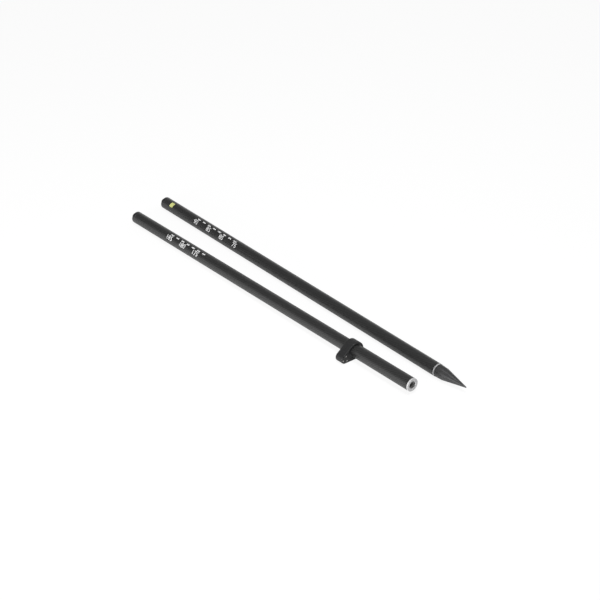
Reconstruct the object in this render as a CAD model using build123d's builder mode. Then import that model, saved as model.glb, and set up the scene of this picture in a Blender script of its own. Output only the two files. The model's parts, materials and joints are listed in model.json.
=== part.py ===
from build123d import *
import os
from math import asin, cos, radians, sin

os.makedirs("parts", exist_ok=True)

# Survey pole in two carbon sections, taken apart and lying side by side on the floor, z = 0.
# Millimetres. Both sections have their tops toward -X and their bottoms toward +X.

# Whole pole when joined, from the tip of the point to the shoulder under the instrument
joined_height = 2000
lower_length = 1043
upper_length = joined_height - lower_length

# Tubes
tube_radius = 14.3
tube_wall = 1.6
bond_gap = 0.05
plug_radius = tube_radius - tube_wall - bond_gap

# Metal fitting that closes the top of each tube and holds a stud
head_length = 9
head_chamfer = 1.3
plug_length = 26
stud_depth = 18

# Threaded studs and holes, 5/8 inch, drawn as plain cylinders at their crests
stud_radius = 7.9
hole_radius = 7.95
stud_length = 9
stud_lead = 1.2
relief_length = 1.5
relief_radius = 6.4

# Threaded insert in the bottom of each tube
flange_length = 2.8
flange_chamfer = 0.4
barrel_length = 28
countersink = 1

# Point on the lower section
point_length = 79.4
point_stud_length = 20
shoulder_length = 18.5
shoulder_radius = 13.85
cone_radius = 13.15
tip_radius = 1
tip_rounding = 0.7

# Yellow film near the top of the lower tube
film_station = 39.7
film_length = 12.5
film_thickness = 0.13
film_gap = 0.02
film_angle = 33
film_span = 50

# Level bracket: a collar round the upper tube, with an ear on one side
bracket_from_bottom = 177.3
collar_radius = 19.6
collar_length = 22.8
ear_radius = 10.1
ear_reach = 30.6
ear_length = 21.2
edge_rounding = 2
collar_bore = 15.55

# Split liner between tube and collar
liner_bore = 14.35
liner_radius = 15.5
liner_length = 21.8
liner_slit = 2.5

# Set screw through the collar, opposite the ear
lock_radius = 2.45
lock_hole_radius = 2.5
lock_length = 3.9
lock_key = 1.4
lock_key_depth = 2

# Ear: vial pocket from above, three screw counterbores from below, a floor between them.
# Depths are measured from the middle of the bracket toward the bottom of the pole.
pocket_radius = 8.6
pocket_floor = 5.6
counterbore_radius = 2.3
counterbore_floor = 8.6

# Circular vial. Heights are measured from the middle of the bracket toward the top of the pole.
cup_radius = 8.25
cup_bore = 7.3
cup_low = -3.2
cup_seat = 0.2
cup_rim = 9.2
glass_radius = 7.2
glass_low = 0.25
window_radius = 6.1
window_top = 9.9
chamber_radius = 5.6
chamber_side = 8.2
chamber_top = 8.9
ring_bore = 6.3
ring_top = 10.2
bubble_radius = 2.1
bubble_offset = 4.3
bubble_height = 7.6

# Rubber ring under the cup
cushion_bore = 2.4
cushion_width = 2.3
cushion_height = 2.2

# Three screws that set the vial square to the pole
screw_count = 3
screw_circle = 6.4
screw_angle = -5
screw_hole_radius = 1.25
screw_tap_radius = 1.05
screw_radius = 1
screw_tip = 0.5
screw_head_radius = 1.9
screw_head_length = 1.6
screw_head_gap = 0.2
screw_slot = 0.5
screw_slot_depth = 0.7

# Layout. The collar props the upper section, and the ear's end rests on the floor beside it.
lower_aside = 98
lower_back = 18.1
lower_turn = radians(0.85)
bracket_station = upper_length - bracket_from_bottom
prop_station = bracket_station - collar_length / 2 + edge_rounding
upper_rise = asin((collar_radius - tube_radius) / prop_station)
ear_droop = asin((collar_radius - ear_radius) / ear_reach)

# The middle of the layout is over the origin
reach_back = lower_back + stud_length * cos(lower_turn)
reach_front = lower_length * cos(lower_turn) - lower_back
reach_left = ear_reach * cos(ear_droop) + ear_radius
reach_right = lower_aside + tube_radius
top_x = (reach_back - reach_front) / 2
top_y = (reach_left - reach_right) / 2

# Section planes: x runs down the section from the shoulder at its top, y is across it
upper = Plane(
    origin=(top_x, top_y, tube_radius),
    x_dir=(cos(upper_rise), 0, sin(upper_rise)),
    z_dir=(0, -1, 0),
)
lower = Plane(
    origin=(top_x - lower_back, top_y + lower_aside, tube_radius),
    x_dir=(cos(lower_turn), -sin(lower_turn), 0),
    z_dir=(-sin(lower_turn), -cos(lower_turn), 0),
)

# Tube, top fitting, stud and threaded insert are the same on both sections
sections = (
    ("upper", "antenna_stud", upper, upper_length),
    ("lower", "section_stud", lower, lower_length - point_length),
)

for section, stud_name, plane, length in sections:
    axis = Axis(plane.origin, plane.x_dir)
    seat = length - flange_length

    with BuildPart() as tube:
        with BuildSketch(plane):
            with Locations((head_length, tube_radius)):
                Rectangle(seat - head_length, tube_wall, align=(Align.MIN, Align.MAX))
        revolve(axis=axis)
    tube.part.label = f"{section}_tube"
    export_step(tube.part, f"parts/{section}_tube.step")

    with BuildPart() as top_fitting:
        with BuildSketch(plane):
            with BuildLine():
                Polyline(
                    (0, hole_radius),
                    (0, tube_radius - head_chamfer),
                    (head_chamfer, tube_radius),
                    (head_length, tube_radius),
                    (head_length, plug_radius),
                    (head_length + plug_length, plug_radius),
                    (head_length + plug_length, 0),
                    (stud_depth, 0),
                    (stud_depth, hole_radius),
                    close=True,
                )
            make_face()
        revolve(axis=axis)
    top_fitting.part.label = f"{section}_top_fitting"
    export_step(top_fitting.part, f"parts/{section}_top_fitting.step")

    with BuildPart() as stud:
        with BuildSketch(plane):
            with BuildLine():
                Polyline(
                    (-stud_length, 0),
                    (-stud_length, stud_radius - stud_lead),
                    (stud_lead - stud_length, stud_radius),
                    (-relief_length, stud_radius),
                    (-relief_length, relief_radius),
                    (0, relief_radius),
                    (0, stud_radius),
                    (stud_depth, stud_radius),
                    (stud_depth, 0),
                    close=True,
                )
            make_face()
        revolve(axis=axis)
    stud.part.label = stud_name
    export_step(stud.part, f"parts/{stud_name}.step")

    with BuildPart() as socket:
        with BuildSketch(plane):
            with BuildLine():
                Polyline(
                    (seat - barrel_length, hole_radius),
                    (seat - barrel_length, plug_radius),
                    (seat, plug_radius),
                    (seat, tube_radius),
                    (length - flange_chamfer, tube_radius),
                    (length, tube_radius - flange_chamfer),
                    (length, hole_radius + countersink),
                    (length - countersink, hole_radius),
                    close=True,
                )
            make_face()
        revolve(axis=axis)
    socket.part.label = f"{section}_socket"
    export_step(socket.part, f"parts/{section}_socket.step")

# Point, screwed into the insert of the lower section
point_seat = lower_length - point_length
point_shoulder = point_seat + shoulder_length
lower_axis = Axis(lower.origin, lower.x_dir)

with BuildPart() as point:
    with BuildSketch(lower):
        with BuildLine():
            Polyline(
                (point_seat - point_stud_length, 0),
                (point_seat - point_stud_length, stud_radius - stud_lead),
                (point_seat - point_stud_length + stud_lead, stud_radius),
                (point_seat, stud_radius),
                (point_seat, shoulder_radius),
                (point_shoulder, cone_radius),
                (lower_length, tip_radius),
                (lower_length, 0),
                close=True,
            )
        make_face()
    revolve(axis=lower_axis)
    fillet(point.edges().filter_by(GeomType.CIRCLE).sort_by(lower_axis)[-1], tip_rounding)
point.part.label = "point"
export_step(point.part, "parts/point.step")

# Film patch on the lower tube, turned from its top toward the upper section
film_plane = Plane(
    origin=lower.from_local_coords((film_station, 0, 0)),
    x_dir=(0, 0, 1),
    z_dir=lower.x_dir,
)
film_inner = tube_radius + film_gap

with BuildPart() as section_patch:
    with BuildSketch(film_plane):
        with BuildLine():
            inner = CenterArc((0, 0), film_inner, film_angle - film_span / 2, film_span)
            outer = CenterArc((0, 0), film_inner + film_thickness, film_angle - film_span / 2, film_span)
            Line(inner @ 0, outer @ 0)
            Line(inner @ 1, outer @ 1)
        make_face()
    extrude(amount=film_length / 2, both=True)
section_patch.part.label = "section_patch"
export_step(section_patch.part, "parts/section_patch.step")

# Bracket planes: hub lies across the tube with x out to the ear, ear is the same plane at the ear's centre
hub = Plane(
    origin=upper.from_local_coords((bracket_station, 0, 0)),
    x_dir=upper.z_dir * cos(ear_droop) - upper.y_dir * sin(ear_droop),
    z_dir=upper.x_dir,
)
ear = Plane(origin=hub.from_local_coords((ear_reach, 0, 0)), x_dir=hub.x_dir, z_dir=hub.z_dir)
across = Plane(origin=hub.origin, x_dir=hub.x_dir, z_dir=hub.y_dir)
lock = Plane(origin=hub.origin, x_dir=hub.z_dir, z_dir=-hub.x_dir)
hub_axis = Axis(hub.origin, hub.z_dir)

with BuildPart() as bracket_liner:
    with BuildSketch(hub):
        Circle(liner_radius)
        Circle(liner_bore, mode=Mode.SUBTRACT)
        with Locations((0, liner_bore)):
            Rectangle(liner_slit, liner_radius, mode=Mode.SUBTRACT)
    extrude(amount=liner_length / 2, both=True)
bracket_liner.part.label = "bracket_liner"
export_step(bracket_liner.part, "parts/bracket_liner.step")

# The bracket grows shorter from the collar to the ear
length_slope = (collar_length - ear_length) / 2 / ear_reach
back_u = -collar_radius - edge_rounding
front_u = ear_reach + ear_radius + edge_rounding
back_half = collar_length / 2 - length_slope * back_u
front_half = collar_length / 2 - length_slope * front_u

with BuildPart() as bracket_body:
    with BuildSketch(hub):
        Circle(collar_radius)
        with Locations((ear_reach, 0)):
            Circle(ear_radius)
        make_hull()
    extrude(amount=collar_length, both=True)
    with BuildSketch(across):
        with BuildLine():
            Polyline(
                (back_u, -back_half),
                (front_u, -front_half),
                (front_u, front_half),
                (back_u, back_half),
                close=True,
            )
        make_face()
    extrude(amount=2 * collar_radius, both=True, mode=Mode.INTERSECT)
    ends = bracket_body.faces().sort_by(hub_axis)
    fillet(ends[0].edges() + ends[-1].edges(), edge_rounding)
    with BuildSketch(hub):
        Circle(collar_bore)
    extrude(amount=collar_length, both=True, mode=Mode.SUBTRACT)
    with BuildSketch(ear.offset(pocket_floor)):
        Circle(pocket_radius)
    extrude(amount=-collar_length, mode=Mode.SUBTRACT)
    with BuildSketch(ear.offset(pocket_floor)):
        with PolarLocations(screw_circle, screw_count, start_angle=screw_angle):
            Circle(screw_hole_radius)
    extrude(amount=collar_length, mode=Mode.SUBTRACT)
    with BuildSketch(ear.offset(counterbore_floor)):
        with PolarLocations(screw_circle, screw_count, start_angle=screw_angle):
            Circle(counterbore_radius)
    extrude(amount=collar_length, mode=Mode.SUBTRACT)
    with BuildSketch(lock):
        Circle(lock_hole_radius)
    extrude(amount=2 * collar_radius, mode=Mode.SUBTRACT)
bracket_body.part.label = "bracket_body"
export_step(bracket_body.part, "parts/bracket_body.step")

with BuildPart() as lock_screw:
    with BuildSketch(lock.offset(collar_bore)):
        Circle(lock_radius)
    extrude(amount=lock_length)
    with BuildSketch(lock.offset(collar_bore + lock_length)):
        RegularPolygon(lock_key, 6)
    extrude(amount=-lock_key_depth, mode=Mode.SUBTRACT)
lock_screw.part.label = "lock_screw"
export_step(lock_screw.part, "parts/lock_screw.step")

# Vial plane: x runs toward the top of the pole along the vial's axis, y is across it
vial = Plane(origin=ear.origin, x_dir=-ear.z_dir, z_dir=ear.y_dir)
vial_axis = Axis(vial.origin, vial.x_dir)

with BuildPart() as vial_cup:
    with BuildSketch(vial):
        with BuildLine():
            Polyline(
                (cup_low, 0),
                (cup_low, cup_radius),
                (cup_rim, cup_radius),
                (cup_rim, cup_bore),
                (cup_seat, cup_bore),
                (cup_seat, 0),
                close=True,
            )
        make_face()
    revolve(axis=vial_axis)
    with BuildSketch(ear.offset(-cup_seat)):
        with PolarLocations(screw_circle, screw_count, start_angle=screw_angle):
            Circle(screw_tap_radius)
    extrude(amount=cup_seat - cup_low, mode=Mode.SUBTRACT)
vial_cup.part.label = "vial_cup"
export_step(vial_cup.part, "parts/vial_cup.step")

with BuildPart() as vial_glass:
    with BuildSketch(vial):
        with BuildLine():
            Polyline(
                (chamber_side, chamber_radius),
                (glass_low, chamber_radius),
                (glass_low, glass_radius),
                (cup_rim, glass_radius),
                (cup_rim, window_radius),
                (window_top, window_radius),
                (window_top, 0),
                (chamber_top, 0),
            )
            TangentArc((chamber_top, 0), (chamber_side, chamber_radius), tangent=(0, 1))
        make_face()
    revolve(axis=vial_axis)
vial_glass.part.label = "vial_glass"
export_step(vial_glass.part, "parts/vial_glass.step")

# Liquid and bubble share the vial's chamber. The bubble lies against the wall that is uppermost.
with BuildSketch(vial) as chamber:
    with BuildLine():
        Polyline(
            (chamber_top, 0),
            (glass_low, 0),
            (glass_low, chamber_radius),
            (chamber_side, chamber_radius),
        )
        TangentArc((chamber_top, 0), (chamber_side, chamber_radius), tangent=(0, 1))
    make_face()
bubble_up = upper.y_dir * bubble_offset
bubble_place = Location(vial.from_local_coords((bubble_height, 0, 0)) + bubble_up)

with BuildPart() as vial_liquid:
    revolve(chamber.sketch, axis=vial_axis)
    with Locations(bubble_place):
        Sphere(bubble_radius, mode=Mode.SUBTRACT)
vial_liquid.part.label = "vial_liquid"
export_step(vial_liquid.part, "parts/vial_liquid.step")

with BuildPart() as vial_bubble:
    revolve(chamber.sketch, axis=vial_axis)
    with Locations(bubble_place):
        Sphere(bubble_radius, mode=Mode.INTERSECT)
vial_bubble.part.label = "vial_bubble"
export_step(vial_bubble.part, "parts/vial_bubble.step")

with BuildPart() as vial_ring:
    with BuildSketch(vial):
        with Locations((cup_rim, ring_bore)):
            Rectangle(ring_top - cup_rim, cup_radius - ring_bore, align=Align.MIN)
    revolve(axis=vial_axis)
vial_ring.part.label = "vial_ring"
export_step(vial_ring.part, "parts/vial_ring.step")

with BuildPart() as vial_cushion:
    with BuildSketch(vial):
        with Locations((-pocket_floor, cushion_bore)):
            Rectangle(cushion_height, cushion_width, align=Align.MIN)
    revolve(axis=vial_axis)
vial_cushion.part.label = "vial_cushion"
export_step(vial_cushion.part, "parts/vial_cushion.step")

# Adjusting screws, reached from below and threaded into the cup
head_seat = counterbore_floor + screw_head_gap
head_face = head_seat + screw_head_length

for number in range(screw_count):
    turn = radians(screw_angle + number * 360 / screw_count)
    centre = ear.from_local_coords((screw_circle * cos(turn), screw_circle * sin(turn), 0))
    drive = Plane(origin=centre, x_dir=ear.x_dir, z_dir=ear.z_dir)
    with BuildPart() as adjusting_screw:
        with BuildSketch(drive.offset(screw_tip)):
            Circle(screw_radius)
        extrude(amount=head_seat - screw_tip)
        with BuildSketch(drive.offset(head_seat)):
            Circle(screw_head_radius)
        extrude(amount=screw_head_length)
        with BuildSketch(drive.offset(head_face)):
            Rectangle(2 * screw_head_radius, screw_slot)
        extrude(amount=-screw_slot_depth, mode=Mode.SUBTRACT)
    adjusting_screw.part.label = f"adjusting_screw_{number + 1}"
    export_step(adjusting_screw.part, f"parts/adjusting_screw_{number + 1}.step")
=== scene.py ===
"""Looks of a two-section survey pole, taken apart and lying on a pale floor.

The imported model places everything: each section's axis comes from its stud, and the level
bracket, its vial and its screws come from the joints that they turn on. Sizes are in
millimetres on the axis of the piece, and meshes are in metres.
"""

import json
import logging
import math
from dataclasses import dataclass
from enum import Enum, StrEnum, auto
from typing import Any, Union

import bmesh
import bpy
from mathutils import Matrix, Vector

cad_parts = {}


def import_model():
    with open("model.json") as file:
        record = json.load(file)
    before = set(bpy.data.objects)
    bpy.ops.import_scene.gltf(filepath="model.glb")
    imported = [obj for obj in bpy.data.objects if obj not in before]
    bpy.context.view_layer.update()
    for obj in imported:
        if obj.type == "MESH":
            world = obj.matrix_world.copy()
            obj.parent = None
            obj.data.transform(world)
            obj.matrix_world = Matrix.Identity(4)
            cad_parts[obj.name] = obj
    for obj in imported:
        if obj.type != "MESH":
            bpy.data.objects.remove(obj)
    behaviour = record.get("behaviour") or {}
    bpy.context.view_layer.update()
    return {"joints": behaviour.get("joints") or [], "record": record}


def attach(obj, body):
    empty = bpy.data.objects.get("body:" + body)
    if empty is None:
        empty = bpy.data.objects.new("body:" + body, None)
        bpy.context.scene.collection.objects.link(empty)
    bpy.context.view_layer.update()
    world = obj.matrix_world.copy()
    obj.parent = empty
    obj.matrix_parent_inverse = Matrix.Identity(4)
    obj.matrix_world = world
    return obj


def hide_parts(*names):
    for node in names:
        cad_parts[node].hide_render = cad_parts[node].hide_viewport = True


LOG = logging.getLogger("survey_pole")

MM = 0.001
TURN = 2 * math.pi
UP = Vector((0, 0, 1))

# Distance within which points are one, in shapes drawn here and in packed or wound ones
TOUCH = 1e-6
LOOSE = 1e-4

# Sides of a turned piece, and the angle in degrees above which an edge stays crisp
SIDES = 96
CRISP = 32.0
CRISP_THREAD = 40.0

# Angle above which an outline counts as straight, and the most of a side that a corner takes
STRAIGHT = math.radians(168)
CORNER_SHARE = 0.45

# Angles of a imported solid: below the first faces are one, above the second edges are broken
FLAT = math.radians(1)
BROKEN = math.radians(40)

# The vertex attribute that marks edges worn by handling
EDGE_WEAR = "edge_wear"

# From the middle of the bracket to the point that the vial tilts on
VIAL_PIVOT = 4.4

Colour = tuple[float, float, float]
Outline = list[tuple[float, float]]
EasedOutline = list[tuple[float, float, float]]
Operand = Union["Wire", float]

WHITE = (1.0, 1.0, 1.0, 1.0)


class Side(Enum):
    """The side of a wall that a thread stands on."""

    OUTSIDE = "outside"
    INSIDE = "inside"


class Ray(Enum):
    """Kinds of ray that the floor and the sky tell apart."""

    CAMERA = "Is Camera Ray"
    GLOSSY = "Is Glossy Ray"
    TRANSMISSION = "Is Transmission Ray"


class Slot(StrEnum):
    """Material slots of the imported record, which it names in small letters."""

    CARBON = auto()
    BLACK_ALLOY = auto()
    STUD_STEEL = auto()
    INSERT_ALLOY = auto()
    YELLOW_FILM = auto()
    POINT_STEEL = auto()
    BRACKET_PLASTIC = auto()
    LINER_PLASTIC = auto()
    SCREW_STEEL = auto()
    VIAL_ALLOY = auto()
    VIAL_GLASS = auto()
    VIAL_LIQUID = auto()
    VIAL_BUBBLE = auto()
    CUSHION_RUBBER = auto()


@dataclass(frozen=True)
class Axis:
    """A line that pieces are turned on, with a side that counts as up.

    Attributes:
        name: what the line belongs to.
        start: the point at station 0, in metres.
        along: the direction in which stations grow.
        up: the direction of angle 0, square to the line.
    """

    name: str
    start: Vector
    along: Vector
    up: Vector

    @classmethod
    def through(cls, name: str, start: Vector, along: Vector, near_up: Vector) -> "Axis":
        """Makes an axis from a line and a direction that is only roughly up."""
        along = along.normalized()
        return cls(name, start.copy(), along, (near_up - along * near_up.dot(along)).normalized())

    def matrix(self) -> Matrix:
        """Gives the place of a shape drawn in millimetres with x up and z along."""
        turned = Matrix((self.up, self.along.cross(self.up), self.along)).transposed().to_4x4()
        return Matrix.Translation(self.start) @ turned @ Matrix.Scale(MM, 4)


class Wire:
    """An output socket that takes part in arithmetic, so that a tree reads like its formula."""

    def __init__(self, tree: bpy.types.NodeTree, socket: bpy.types.NodeSocket) -> None:
        """Keeps the socket and the tree that it belongs to."""
        self.tree = tree
        self.socket = socket

    def math(self, operation: str, *others: Operand) -> "Wire":
        """Adds a Math node, by Blender's name for it, that begins with this socket."""
        return Graph(self.tree).wire("ShaderNodeMath", self, *others, operation=operation)

    def __add__(self, other: Operand) -> "Wire":
        """Adds."""
        return self.math("ADD", other)

    def __sub__(self, other: Operand) -> "Wire":
        """Subtracts."""
        return self.math("SUBTRACT", other)

    def __mul__(self, other: Operand) -> "Wire":
        """Multiplies."""
        return self.math("MULTIPLY", other)

    def __truediv__(self, other: Operand) -> "Wire":
        """Divides."""
        return self.math("DIVIDE", other)

    def __mod__(self, other: Operand) -> "Wire":
        """Gives the remainder, never below zero."""
        return self.math("FLOORED_MODULO", other)

    def __lt__(self, other: Operand) -> "Wire":
        """Gives 1 where this is the smaller, else 0."""
        return self.math("LESS_THAN", other)

    def __gt__(self, other: Operand) -> "Wire":
        """Gives 1 where this is the larger, else 0."""
        return self.math("GREATER_THAN", other)

    def choose(self, when_one: Operand, when_zero: Operand) -> "Wire":
        """Goes from the second value to the first as this socket goes from 0 to 1."""
        rest = self * -1.0 + 1.0
        return self * when_one + rest * when_zero


class Graph:
    """A node tree with short ways to add and join its nodes."""

    def __init__(self, tree: bpy.types.NodeTree) -> None:
        """Keeps the tree."""
        self.tree = tree

    def add(self, kind: str, *values: Any, **settings: Any) -> bpy.types.Node:
        """Adds a node.

        Args:
            kind: Blender's name for the node.
            values: what goes into its inputs in order; None leaves an input alone.
            settings: the node's own properties.

        Returns:
            The new node.
        """
        node = self.tree.nodes.new(kind)
        for key, setting in settings.items():
            setattr(node, key, setting)
        for slot, value in zip(node.inputs, values):
            if isinstance(value, Wire):
                self.tree.links.new(value.socket, slot)
            elif value is not None:
                slot.default_value = value
        return node

    def wire(self, kind: str, *values: Any, out: Union[int, str] = 0, **settings: Any) -> Wire:
        """Adds a node and gives one of its outputs, as a rule the first."""
        return Wire(self.tree, self.add(kind, *values, **settings).outputs[out])

    def vector(self, *parts: Operand) -> Wire:
        """Joins three numbers to a vector."""
        return self.wire("ShaderNodeCombineXYZ", *parts)

    def split(self, vector: Wire) -> list[Wire]:
        """Gives a vector's three parts."""
        node = self.add("ShaderNodeSeparateXYZ", vector)
        return [Wire(self.tree, part) for part in node.outputs]


class Recipe(Graph):
    """A Geometry Nodes tree with named inputs, run to make a plain mesh."""

    def __init__(self, name: str, *sizes: str) -> None:
        """Starts the tree.

        Args:
            name: the tree's name.
            sizes: the names of its inputs beside the geometry and the material.
        """
        super().__init__(bpy.data.node_groups.new(name, "GeometryNodeTree"))
        face = self.tree.interface
        face.new_socket("Geometry", in_out="OUTPUT", socket_type="NodeSocketGeometry")
        kinds = {"Geometry": "Geometry", **dict.fromkeys(sizes, "Float"), "Material": "Material"}
        self.keys = {}
        for label, kind in kinds.items():
            socket = face.new_socket(label, in_out="INPUT", socket_type=f"NodeSocket{kind}")
            self.keys[label] = socket.identifier
        entry = self.tree.nodes.new("NodeGroupInput")
        self.given = {slot.name: Wire(self.tree, slot) for slot in entry.outputs if slot.name}

    def wrap(self, flat: Wire, radius: Wire, angle: Wire, station: Wire) -> Wire:
        """Puts the points of a flat shape round the axis."""
        spot = self.vector(radius * angle.math("COSINE"), radius * angle.math("SINE"), station)
        return self.wire("GeometryNodeSetPosition", flat, None, spot)

    def close(self, geometry: Wire) -> "Recipe":
        """Ends the tree in a realised mesh with its material.

        Args:
            geometry: what the tree has made.

        Returns:
            The finished tree.
        """
        solid = self.wire("GeometryNodeRealizeInstances", geometry)
        dressed = self.wire("GeometryNodeSetMaterial", solid, None, self.given["Material"])
        self.add("NodeGroupOutput", dressed)
        return self

    def run(self, start: bpy.types.Mesh, values: dict[str, Any]) -> bpy.types.Mesh:
        """Runs the tree on a mesh.

        Args:
            start: the mesh that goes in, which is used up.
            values: the value of each named input.

        Returns:
            The plain mesh that comes out.
        """
        host = link(self.tree.name, start)
        modifier = host.modifiers.new(self.tree.name, "NODES")
        modifier.node_group = self.tree
        for label, value in values.items():
            modifier[self.keys[label]] = value
        mesh = plain_mesh(host)
        host.modifiers.remove(modifier)
        bpy.data.objects.remove(host)
        bpy.data.meshes.remove(start)
        return mesh


def link(name: str, data: bpy.types.ID) -> bpy.types.Object:
    """Makes an object in the scene.

    Args:
        name: the object's name.
        data: its mesh, curve, lamp or camera.

    Returns:
        The object, at the origin.
    """
    made = bpy.data.objects.new(name, data)
    bpy.context.scene.collection.objects.link(made)
    return made


def plain_mesh(source: bpy.types.Object) -> bpy.types.Mesh:
    """Turns an object with its modifiers into a plain mesh.

    Args:
        source: a linked object.

    Returns:
        A new mesh that holds the evaluated shape.
    """
    graph = bpy.context.evaluated_depsgraph_get()
    shown = source.evaluated_get(graph)
    return bpy.data.meshes.new_from_object(shown, preserve_all_data_layers=True, depsgraph=graph)


class Paint(Graph):
    """A material's tree, with its shader and the ways that a pattern reaches it."""

    def __init__(self, name: str, axis: Axis) -> None:
        """Starts a material whose patterns lie on an axis.

        Args:
            name: the material's name.
            axis: the line that patterns are drawn on.
        """
        material = bpy.data.materials.new(name)
        material.use_nodes = True
        super().__init__(material.node_tree)
        self.shader = self.tree.nodes["Principled BSDF"]
        place = axis.matrix().inverted()
        self.spot = self.wire(
            "ShaderNodeMapping",
            self.wire("ShaderNodeTexCoord", out="Object"),
            place.translation,
            place.to_quaternion().to_euler(),
            place.to_scale(),
        )
        self.x, self.y, self.z = self.split(self.spot)

    def set(self, **values: Any) -> None:
        """Sets constants on the shader, named as its sockets are."""
        for label, value in values.items():
            self.shader.inputs[label.replace("_", " ")].default_value = value

    def feed(self, label: str, value: Wire) -> None:
        """Joins a pattern to one of the shader's sockets."""
        self.tree.links.new(value.socket, self.shader.inputs[label])

    def noise(self, per_mm: float, detail: float = 2.0) -> Wire:
        """Gives clouds, so many to a millimetre and so finely broken up, from 0 to 1."""
        return self.wire("ShaderNodeTexNoise", self.spot, None, per_mm, detail)

    def radius(self) -> Wire:
        """Gives the distance from the axis."""
        return (self.x * self.x + self.y * self.y).math("SQRT")

    def lines(self, per_mm: float) -> Wire:
        """Gives the marks of a lathe tool, round the axis on any turned face, from 0 to 1."""
        feed = self.z + self.radius()
        return self.wire("ShaderNodeTexNoise", None, feed, per_mm, 1.0, noise_dimensions="1D")

    def worn(self) -> Wire:
        """Gives the edges that handling has worn, as the mesh marks them."""
        return self.wire("ShaderNodeAttribute", out="Fac", attribute_name=EDGE_WEAR)

    def ramp(self, value: Wire, low: Colour, high: Colour, start: float, end: float) -> Wire:
        """Turns a pattern into colour.

        Args:
            value: the pattern.
            low: the colour at its start.
            high: the colour at its end.
            start: where the first colour begins to change.
            end: where the second colour is reached.

        Returns:
            The colour.
        """
        node = self.add("ShaderNodeValToRGB", value)
        first, last = node.color_ramp.elements
        first.position, last.position = start, end
        first.color, last.color = (*low, 1.0), (*high, 1.0)
        return Wire(self.tree, node.outputs["Color"])

    def cover(self, share: Wire, colour: Colour) -> None:
        """Lays another colour over the base colour.

        Args:
            share: where it lies, from 0 to 1.
            colour: the colour on top.
        """
        mix = self.add("ShaderNodeMix", share, data_type="RGBA")
        below, above = (slot for slot in mix.inputs if slot.type == "RGBA")
        above.default_value = (*colour, 1.0)
        base = self.shader.inputs["Base Color"]
        self.tree.links.new(base.links[0].from_socket, below)
        self.tree.links.new(next(slot for slot in mix.outputs if slot.type == "RGBA"), base)

    def bump(self, height: Wire, depth: float) -> None:
        """Raises the surface by a pattern.

        Args:
            height: the pattern.
            depth: how high a value of 1 stands, in millimetres.
        """
        node = self.add("ShaderNodeBump")
        node.inputs["Distance"].default_value = depth * MM
        self.tree.links.new(height.socket, node.inputs["Height"])
        self.tree.links.new(node.outputs["Normal"], self.shader.inputs["Normal"])


# Clouds of a finish: how finely they break up, and the part of a pattern that colour spans
CLOUD_DETAIL = 4.0
TONES_FROM, TONES_TO = 0.25, 0.75

# Rubbed spots on a worn edge: how many to a millimetre, how broken up, and how high they begin
RUBS_PER_MM = 1.1
RUB_DETAIL = 3.0
RUB_FROM = 0.46


@dataclass(frozen=True)
class Finish:
    """What every finish has: two tones of one colour, and two degrees of gloss.

    Attributes:
        name: what the finish is called.
        dark: the colour where its pattern is lowest.
        light: the colour where its pattern is highest.
        glossy: the roughness where its pattern is lowest.
        dull: the roughness where its pattern is highest.
        metallic: 1 for bare metal.
        depth: the height of its relief, in millimetres.
        grain: how many grains there are to a millimetre.
        bare: the colour that shows where an edge is rubbed.
        wear: how much of it shows there.
        clouds: how many clouds there are to a millimetre.
        cloud_share: how much of the pattern is clouds; the rest is grain.
    """

    name: str
    dark: Colour
    light: Colour
    glossy: float = 0.3
    dull: float = 0.5
    metallic: float = 0.0
    depth: float = 0.01
    grain: float = 4.0
    bare: Colour = (0.6, 0.6, 0.61)
    wear: float = 0.0
    clouds: float = 0.35
    cloud_share: float = 0.6

    def paint(self, axis: Axis) -> bpy.types.Material:
        """Gives the finish's material for the pieces on one axis, made at its first use.

        Args:
            axis: the line that its pattern is drawn on.

        Returns:
            The material.
        """
        name = f"{self.name}_{axis.name}"
        if name not in bpy.data.materials:
            paint = Paint(name, axis)
            paint.set(Metallic=self.metallic)
            self.dress(paint)
            LOG.info("finish %s", name)
        return bpy.data.materials[name]

    def grains(self, paint: Paint) -> Wire:
        """Gives the pattern of the grain, fine clouds where nothing else is said."""
        return paint.noise(self.grain)

    def dress(self, paint: Paint) -> None:
        """Lays a cloudy variation and the grain.

        Args:
            paint: the material under the brush.
        """
        clouds = paint.noise(self.clouds, CLOUD_DETAIL)
        grain = self.grains(paint)
        self.lay(paint, clouds * self.cloud_share + grain * (1 - self.cloud_share), grain)

    def lay(self, paint: Paint, tone: Wire, height: Wire) -> None:
        """Puts a pattern on the surface's colour, gloss and relief, and wears the edges.

        Args:
            paint: the material under the brush.
            tone: the pattern of colour and gloss.
            height: the pattern of relief.
        """
        colour = paint.ramp(tone, self.dark, self.light, TONES_FROM, TONES_TO)
        paint.feed("Base Color", colour)
        paint.feed("Roughness", tone * (self.dull - self.glossy) + self.glossy)
        paint.bump(height, self.depth)
        if self.wear:
            spots = paint.noise(RUBS_PER_MM, RUB_DETAIL) > RUB_FROM
            paint.cover(paint.worn() * spots * self.wear, self.bare)


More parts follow.
